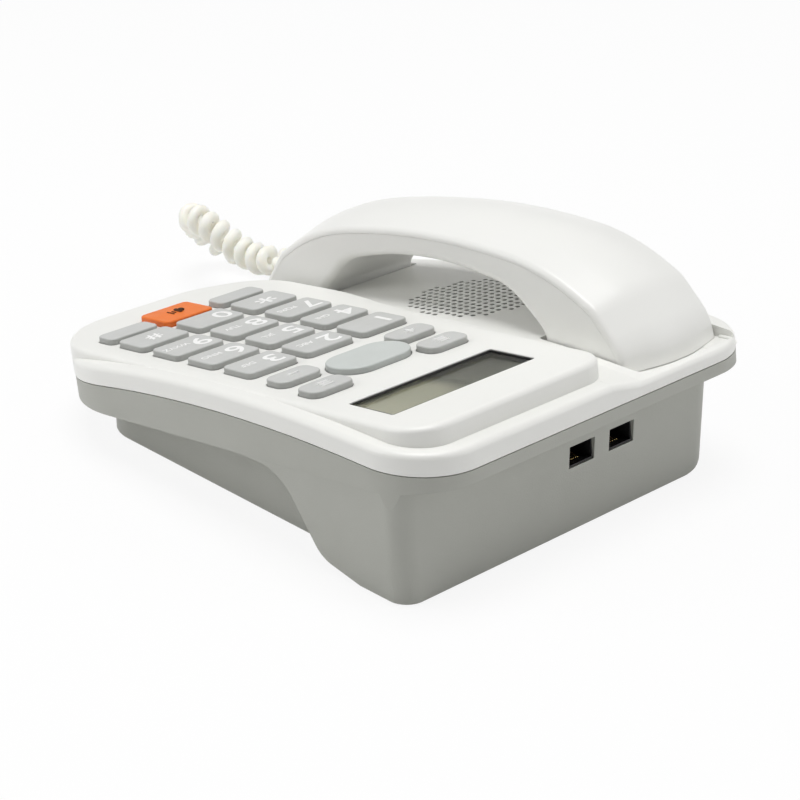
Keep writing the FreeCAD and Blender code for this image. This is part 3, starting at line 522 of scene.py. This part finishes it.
def coilPoints(line):
    # winds the wire round the route, opening the curls round its bends
    reach = [0.0]
    for first, second in zip(line, line[1:]):
        reach.append(reach[-1] + (second - first).length)
    heads = [(line[min(i + 1, len(line) - 1)] - line[max(i - 1, 0)]).normalized() for i in range(len(line))]
    sides = [(Vector((1, 0, 0)) - heads[0] * heads[0].x).normalized()]
    for head in heads[1:]:
        sides.append((sides[-1] - head * sides[-1].dot(head)).normalized())
    wire, radius = cordSet["wire"] / 1000, cordSet["coilRadius"] / 1000
    pitch, innerGap, tail = cordSet["pitch"] / 1000, cordSet["innerGap"] / 1000, cordSet["tail"] / 1000
    window = max(2, int(len(line) * cordSet["bendShare"]))
    turns = [0.0]
    for i in range(len(line) - 1):
        low, high = max(0, i - window), min(len(line) - 1, i + window)
        bend = heads[low].angle(heads[high]) / (reach[high] - reach[low])
        local = max(pitch, (wire + innerGap) / (1 - bend * radius))
        start = min(max(reach[i], tail), reach[-1] - tail)
        end = min(max(reach[i + 1], tail), reach[-1] - tail)
        turns.append(turns[-1] + (end - start) / local)
    total = int(turns[-1] * cordSet["turnParts"]) / cordSet["turnParts"]
    scale = total / turns[-1]
    ease = cordSet["easeTurns"]
    points = [line[0]]
    count = int(total * cordSet["perTurn"])
    step = 0
    for k in range(count + 1):
        turn = total * k / count
        while step < len(turns) - 2 and turns[step + 1] * scale <= turn:
            step += 1
        span = turns[step + 1] - turns[step]
        part = (turn / scale - turns[step]) / span if span > 1e-9 else 0.0
        part = max(0.0, min(1.0, part))
        centre = line[step].lerp(line[step + 1], part)
        head = heads[step].lerp(heads[step + 1], part).normalized()
        side = sides[step].lerp(sides[step + 1], part)
        side = (side - head * side.dot(head)).normalized()
        width = radius * cordSet["spread"] * easeIn(turn / ease) * easeIn((total - turn) / ease)
        angle = 2 * math.pi * turn
        points.append(centre + side * width * math.cos(angle) + head.cross(side) * width * math.sin(angle))
    points.append(line[-1])
    return points


routePiece = splineCurve("cordRoute", routeMarks, 40)
wirePoints = coilPoints(curvePoints(routePiece))
bpy.data.objects.remove(routePiece)
cordPiece = splineCurve("curlyCord", wirePoints, 3)
wireLine = curvePoints(cordPiece)
cordPiece = roundTube(cordPiece, cordSet["wire"] / 2000, 5)
cordPiece.data.materials.clear()
cordPiece.data.materials.append(cordCream)
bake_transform(cordPiece)
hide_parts("handset_cord")

# numerals, letters and signs printed on the keys
keySet = {"rightU": 55.2, "pitchU": 24.75, "topV": 3.1, "pitchV": 19.4, "top": 2.2, "ink": 0.03,
          "digitSize": 11.6, "digitU": -4.9, "digitV": 0.4, "digitWide": 1.2, "digitWeight": 0.12,
          "letterSize": 3.5, "letterU": 4.2, "letterV": -1.2, "letterWeight": 0.03}
signSet = {"*": {"grow": 1.35, "u": 0.0, "v": -2.2}, "#": {"grow": 0.7, "u": 0.0, "v": 0.0}}
digitSign = {"grow": 1.0, "u": keySet["digitU"], "v": 0.0}
keyFaces = [("key_1", "1", ""), ("key_2", "2", "ABC"), ("key_3", "3", "DEF"), ("key_4", "4", "GHI"),
            ("key_5", "5", "JKL"), ("key_6", "6", "MNO"), ("key_7", "7", "PQRS"), ("key_8", "8", "TUV"),
            ("key_9", "9", "WXYZ"), ("key_star", "*", ""), ("key_0", "0", ""), ("key_hash", "#", "")]


def printedWord(word, size, u, v, weight, wide=1.0):
    # lettering as a thin raised film on a key's top
    dropSelection()
    bpy.ops.object.text_add()
    text = bpy.context.object
    text.data.body = word
    text.data.size = size / 1000
    text.data.align_x = "CENTER"
    text.data.align_y = "CENTER"
    text.data.extrude = keySet["ink"] / 1000
    text.data.offset = weight / 1000
    text.data.resolution_u = 6
    bpy.ops.object.convert(target="MESH")
    text = bpy.context.object
    text.scale = (wide, 1, 1)
    settlePlace(text)
    settlePlace(text, panelPlace(u, v, keySet["top"]))
    return text


for i, (nodeName, digit, letters) in enumerate(keyFaces):
    u = keySet["rightU"] - (2 - i % 3) * keySet["pitchU"]
    v = keySet["topV"] - (i // 3) * keySet["pitchV"]
    sign = signSet.get(digit, digitSign)
    marks = [printedWord(digit, keySet["digitSize"] * sign["grow"], u + sign["u"],
                         v + keySet["digitV"] + sign["v"], keySet["digitWeight"], keySet["digitWide"])]
    if letters:
        marks.append(printedWord(letters, keySet["letterSize"], u + keySet["letterU"],
                                 v + keySet["letterV"], keySet["letterWeight"]))
    dressPiece(joinPieces(marks, "print_" + nodeName), inkWhite, nodeName + "_body")
print("numerals printed")

barRound = 2.6  # a bar's narrow side over the radius of its edges


def markBar(u, v, w, width, depth, thick):
    # a bar with rounded edges, lying square to w
    dropSelection()
    bpy.ops.mesh.primitive_cube_add(size=1)
    bar = bpy.context.object
    bar.scale = (width / 1000, depth / 1000, thick / 1000)
    settlePlace(bar)
    bpy.ops.object.mode_set(mode="EDIT")
    bpy.ops.mesh.select_all(action="SELECT")
    bpy.ops.mesh.bevel(offset=min(width, depth) / (1000 * barRound), segments=3, affect="EDGES")
    bpy.ops.object.mode_set(mode="OBJECT")
    settlePlace(bar, panelPlace(u, v, w))
    return bar


# short bars and a plus or minus on the function keys
functionSet = {"aside": 25.6, "nearU": 2, "nearV": 23.4, "farU": 3.4, "farV": 40.6,
               "bar": 4.6, "upright": 4.0, "line": 0.8, "step": 1.6, "ink": 0.06, "lift": 0.005}
midU = keySet["rightU"] - keySet["pitchU"]
nearU, farU = midU + functionSet["nearU"], midU + functionSet["farU"]
functionMarks = [
    ("key_small_a", nearU - functionSet["aside"], functionSet["nearV"], "plus"),
    ("key_small_b", farU - functionSet["aside"], functionSet["farV"], "bars"),
    ("key_small_c", nearU + functionSet["aside"], functionSet["nearV"], "minus"),
    ("key_small_d", farU + functionSet["aside"], functionSet["farV"], "bars"),
]
for nodeName, u, v, sort in functionMarks:
    steps = (0, functionSet["step"], -functionSet["step"]) if sort == "bars" else (0,)
    bars = [markBar(u, v + step, keySet["top"], functionSet["bar"], functionSet["line"], functionSet["ink"])
            for step in steps]
    if sort == "plus":
        bars.append(markBar(u, v, keySet["top"] + functionSet["lift"], functionSet["line"],
                            functionSet["upright"], functionSet["ink"]))
    dressPiece(joinPieces(bars, "print_" + nodeName), inkWhite, nodeName + "_body")

# a plain hands-free sign on the orange key: a small horn and two bars of sound
# each of its bars has a u, a lift, a width and a depth
hornSet = {"u": 1.0, "v": 1.2, "ink": 0.06,
           "bars": ((-2.2, 0, 1.6, 2.4), (-0.8, 0.005, 1.4, 4.4), (1.2, 0, 0.6, 2.6), (2.6, 0, 0.6, 4.4))}
hornU = midU + hornSet["u"]
hornV = keySet["topV"] - 4 * keySet["pitchV"] + hornSet["v"]
horn = [markBar(hornU + aside, hornV, keySet["top"] + lift, width, depth, hornSet["ink"])
        for aside, lift, width, depth in hornSet["bars"]]
dressPiece(joinPieces(horn, "print_key_orange"), inkDark, "key_orange_body")
print("function marks printed")

# a dark frame round the display window: painted shade, standing in for the shade in the window's recess
windowSet = {"u": 34.2, "v": 67.9, "width": 62.1, "depth": 20.1, "line": 0.8, "top": -0.58, "ink": 0.04}
halfWide = windowSet["width"] / 2 - windowSet["line"] / 2
halfDeep = windowSet["depth"] / 2 - windowSet["line"] / 2
shadeFrame = [markBar(windowSet["u"], windowSet["v"] + side * halfDeep, windowSet["top"], windowSet["width"],
                  windowSet["line"], windowSet["ink"]) for side in (-1, 1)]
shadeFrame += [markBar(windowSet["u"] + side * halfWide, windowSet["v"], windowSet["top"], windowSet["line"],
                   windowSet["depth"], windowSet["ink"]) for side in (-1, 1)]
dressPiece(joinPieces(shadeFrame, "window_shade_frame"), windowShadeBlack, "base")

# spring contacts in the two jacks at the back, from v and w at the mouth to v and w inside
contactSet = {"u": (-1.0, -20.0), "count": 4, "pitch": 1.02, "low": (87.6, -33.5), "high": (79.6, -30.6),
              "width": 0.5, "thick": 0.3}


def contactWire(u):
    # a gold strip that rises towards the inside of the jack
    lowV, lowW = contactSet["low"]
    highV, highW = contactSet["high"]
    run = math.hypot(highV - lowV, highW - lowW)
    wire = markBar(0, 0, 0, contactSet["width"], run, contactSet["thick"])
    settlePlace(wire, panelMatrix.inverted())
    lean = Matrix.Rotation(math.atan2(lowW - highW, lowV - highV), 4, "X")
    settlePlace(wire, panelPlace(u, (lowV + highV) / 2, (lowW + highW) / 2) @ lean)
    return wire


for i, centre in enumerate(contactSet["u"]):
    count = contactSet["count"]
    wires = [contactWire(centre + (k - (count - 1) / 2) * contactSet["pitch"]) for k in range(count)]
    dressPiece(joinPieces(wires, "jack_contacts_%d" % (i + 1)), contactGold, "base")

# white webs that close the foot of the two left pocket corners
webSet = {"corners": (("pocket_web_rear", 94.3, 1), ("pocket_web_front", -95.5, -1)),
          "wall": -72.4, "u": -66.9, "round": 5.5, "floor": -12.3,
          "thick": 0.5, "overlap": 1.0, "rise": 0.12, "edge": 0.12,
          "bead": 0.8, "beadRise": 0.2, "beadInset": 0.3, "beadTail": 3.0, "beadStep": 15}


def webDisc(v):  # a thin disc on the pocket's floor, with softened edges
    dropSelection()
    radius = (webSet["round"] + webSet["overlap"]) / 1000
    bpy.ops.mesh.primitive_cylinder_add(vertices=64, radius=radius, depth=webSet["thick"] / 1000)
    disc = bpy.context.object
    bpy.ops.object.mode_set(mode="EDIT")
    bpy.ops.mesh.select_all(action="DESELECT")
    bpy.ops.mesh.select_mode(type="FACE")
    bpy.ops.mesh.select_face_by_sides(number=4, type="GREATER")
    bpy.ops.mesh.bevel(offset=webSet["edge"] / 1000, segments=3, affect="EDGES")
    bpy.ops.object.mode_set(mode="OBJECT")
    settlePlace(disc, panelPlace(webSet["u"], v, webSet["floor"] + webSet["rise"] - webSet["thick"] / 2))
    return disc


def webBead(name, v, side):  # a round bead along the corner's wall
    reach = webSet["round"] - webSet["beadInset"]
    line = [(webSet["wall"] + webSet["beadInset"], v - webSet["beadTail"] * side)]
    for angle in range(180, 89, -webSet["beadStep"]):
        turn = math.radians(angle)
        line.append((webSet["u"] + reach * math.cos(turn), v + reach * math.sin(turn) * side))
    height = webSet["floor"] + webSet["beadRise"]
    bead = splineCurve(name, [panelSpot(u, vSpot, height) for u, vSpot in line], 8)
    return roundTube(bead, webSet["bead"] / 1000, 4)


for name, v, side in webSet["corners"]:
    disc = webDisc(v)
    web = joinPieces([webBead(name, v, side), disc], name)
    dressPiece(web, caseWhite, "base")
print("window border, contacts and webs made")

# floor, backdrop and light: the world is dim on the camera's side, and white where it is looked at
stageSet = {"floor": (0.88, 0.88, 0.88), "floorSize": 6, "shadowShare": 0.11, "worldLight": 0.40,
            "darkSide": (0.68, 0.73, 0.0), "darkShare": 0.9, "darkFrom": 0.1, "lampAim": (0, 0, 0.03)}


def seenBy(tree, kinds):  # 1 for a ray of one of these kinds, else 0
    path = tree.nodes.new("ShaderNodeLightPath")
    seen = path.outputs[kinds[0]]
    for kind in kinds[1:]:
        seen = mathOf(tree, "MAXIMUM", seen, path.outputs[kind])
    return seen


def floorFinish(name):
    # pale floor that glows to the eye, so that only a faint shadow shows
    finish, tree, shader = newFinish(name)[:3]
    shader.inputs["Base Color"].default_value = (*stageSet["floor"], 1)
    shader.inputs["Roughness"].default_value = 0.9
    glow = tree.nodes.new("ShaderNodeEmission")
    glow.inputs["Color"].default_value = (1, 1, 1, 1)
    seen = seenBy(tree, ("Is Camera Ray", "Is Glossy Ray", "Is Transmission Ray"))
    mix = tree.nodes.new("ShaderNodeMixShader")
    tree.links.new(mathOf(tree, "MULTIPLY", seen, 1 - stageSet["shadowShare"]), mix.inputs["Fac"])
    tree.links.new(shader.outputs["BSDF"], mix.inputs[1])
    tree.links.new(glow.outputs["Emission"], mix.inputs[2])
    tree.links.new(mix.outputs["Shader"], tree.nodes["Material Output"].inputs["Surface"])
    return finish


def studioWorld(name):
    world = bpy.data.worlds.new(name)
    world.use_nodes = True
    sky = world.node_tree
    backdrop = sky.nodes["Background"]
    backdrop.inputs["Color"].default_value = (1, 1, 1, 1)
    around = sky.nodes.new("ShaderNodeTexCoord")
    toward = sky.nodes.new("ShaderNodeVectorMath")
    toward.operation = "DOT_PRODUCT"
    toward.inputs[1].default_value = stageSet["darkSide"]
    sky.links.new(around.outputs["Generated"], toward.inputs[0])
    darkest = stageSet["worldLight"] * (1 - stageSet["darkShare"])
    dim = spanOf(sky, toward.outputs["Value"], stageSet["darkFrom"], 1.0, stageSet["worldLight"], darkest)
    level = sky.nodes.new("ShaderNodeMapRange")
    sky.links.new(dim, level.inputs["To Min"])
    level.inputs["To Max"].default_value = 1.0
    sky.links.new(seenBy(sky, ("Is Camera Ray", "Is Transmission Ray")), level.inputs["Value"])
    sky.links.new(level.outputs["Result"], backdrop.inputs["Strength"])
    return world


dropSelection()
bpy.ops.mesh.primitive_plane_add(size=stageSet["floorSize"], location=(0, 0, 0))
floor = bpy.context.object
floor.name = "floor"
floor.data.materials.append(floorFinish("floorPale"))
scene.world = studioWorld("studio")

lampSet = [
    {"name": "keyLamp", "spot": (1.0, -0.65, 0.7), "size": 0.9, "power": 4.6},
    {"name": "topLamp", "spot": (0.0, 0.0, 1.7), "size": 1.0, "power": 18.0},
    {"name": "rearLamp", "spot": (-0.75, 1.15, 0.6), "size": 0.9, "power": 3.2},
]
for lamp in lampSet:
    bpy.ops.object.light_add(type="AREA", location=lamp["spot"])
    light = bpy.context.object
    light.name = lamp["name"]
    light.data.shape = "DISK"
    light.data.size = lamp["size"]
    light.data.energy = lamp["power"]
    aim = Vector(stageSet["lampAim"]) - Vector(lamp["spot"])
    light.rotation_euler = aim.to_track_quat("-Z", "Y").to_euler()
print("stage lit")
